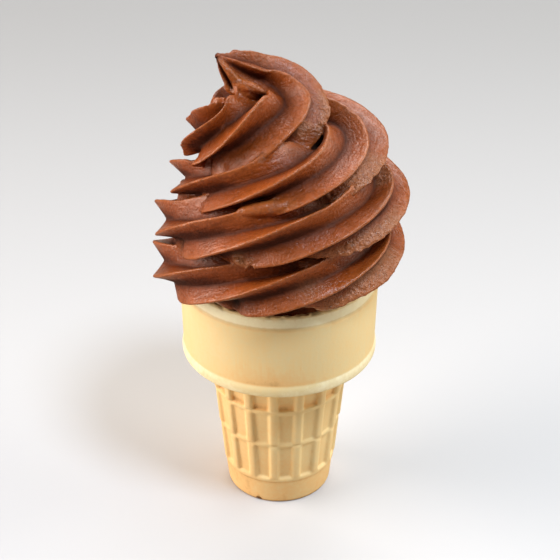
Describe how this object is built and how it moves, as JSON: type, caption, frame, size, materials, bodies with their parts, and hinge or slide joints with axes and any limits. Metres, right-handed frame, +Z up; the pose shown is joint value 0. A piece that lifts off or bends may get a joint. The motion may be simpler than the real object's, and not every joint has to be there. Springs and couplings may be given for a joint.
{
  "type": "soft serve cone",
  "caption": "Tall swirl of soft serve with sharp star-piped ridges and a leaning curl on top, in a flat-bottomed wafer cake cone with a ribbed stem and a smooth cup.",
  "frame": {"origin": "centre of the cone's flat base, on the surface that it stands on", "axes": "+Z up along the cone's axis, -Y to the front, -X to the side that the curl on top leans to"},
  "size_m": [0.0722, 0.0711, 0.1394],
  "materials": {
    "wafer": "matte",
    "soft_serve": "satin"
  },
  "bodies": {
    "root": {"cake_cone": "wafer", "soft_serve": "soft_serve"}
  },
  "joints": []
}
